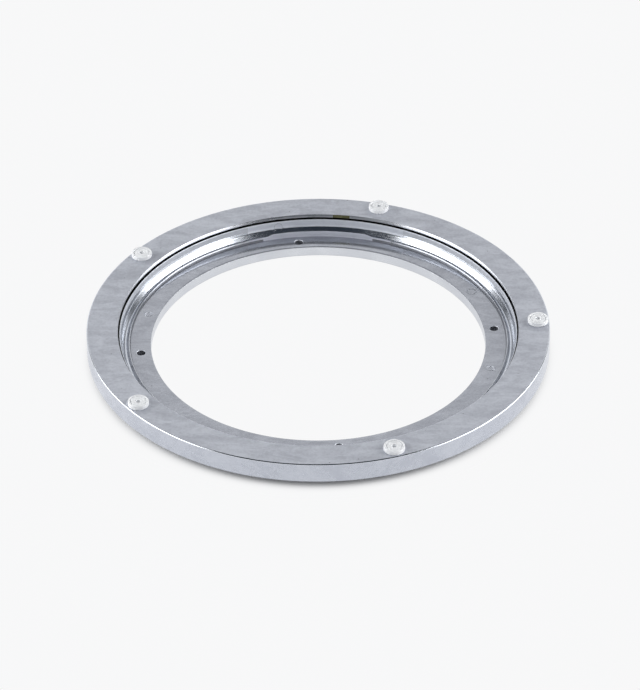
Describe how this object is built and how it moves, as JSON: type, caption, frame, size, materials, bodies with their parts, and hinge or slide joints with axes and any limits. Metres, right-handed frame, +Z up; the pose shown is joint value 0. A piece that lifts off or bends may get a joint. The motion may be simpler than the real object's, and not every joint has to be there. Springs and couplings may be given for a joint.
{
  "type": "lazy susan bearing",
  "caption": "Flat aluminium turntable bearing: a flanged ring with plastic pads spins on caged balls round a screw-down base ring with a wide open middle.",
  "frame": {"origin": "on the axis of rotation, in the base ring's underside", "axes": "+Z up along the axis of rotation, +Y away from the viewer of the picture, +X to the viewer's right"},
  "size_m": [0.3, 0.3, 0.0218],
  "materials": {
    "cast_aluminium": "satin die-cast grey with a brighter turned cove, lip and bore",
    "cage_nylon": "natural moulded",
    "ball_steel": "ground and polished",
    "pad_plastic": "milky translucent moulded plastic"
  },
  "bodies": {
    "base": {"base_ring": "cast_aluminium", "loading_plug": "cast_aluminium"},
    "turntable": {"turning_ring": "cast_aluminium", "pad_1": "pad_plastic", "pad_2": "pad_plastic", "pad_3": "pad_plastic", "pad_4": "pad_plastic", "pad_5": "pad_plastic"},
    "cage": {"ball_cage": "cage_nylon", "ball_1": "ball_steel", "ball_2": "ball_steel", "ball_3": "ball_steel", "ball_4": "ball_steel", "ball_5": "ball_steel", "ball_6": "ball_steel", "ball_7": "ball_steel", "ball_8": "ball_steel", "ball_9": "ball_steel", "ball_10": "ball_steel", "ball_11": "ball_steel", "ball_12": "ball_steel"}
  },
  "joints": [
    {"name": "turntable_spin", "type": "hinge", "parent": "base", "child": "turntable", "pos_m": [0, 0, 0], "axis": [0, 0, 1], "continuous": true},
    {"name": "cage_orbit", "type": "hinge", "parent": "base", "child": "cage", "pos_m": [0, 0, 0], "axis": [0, 0, 1], "continuous": true}
  ],
  "couplings": [
    {"joint": "cage_orbit", "follows": "turntable_spin", "ratio": 0.5066}
  ]
}
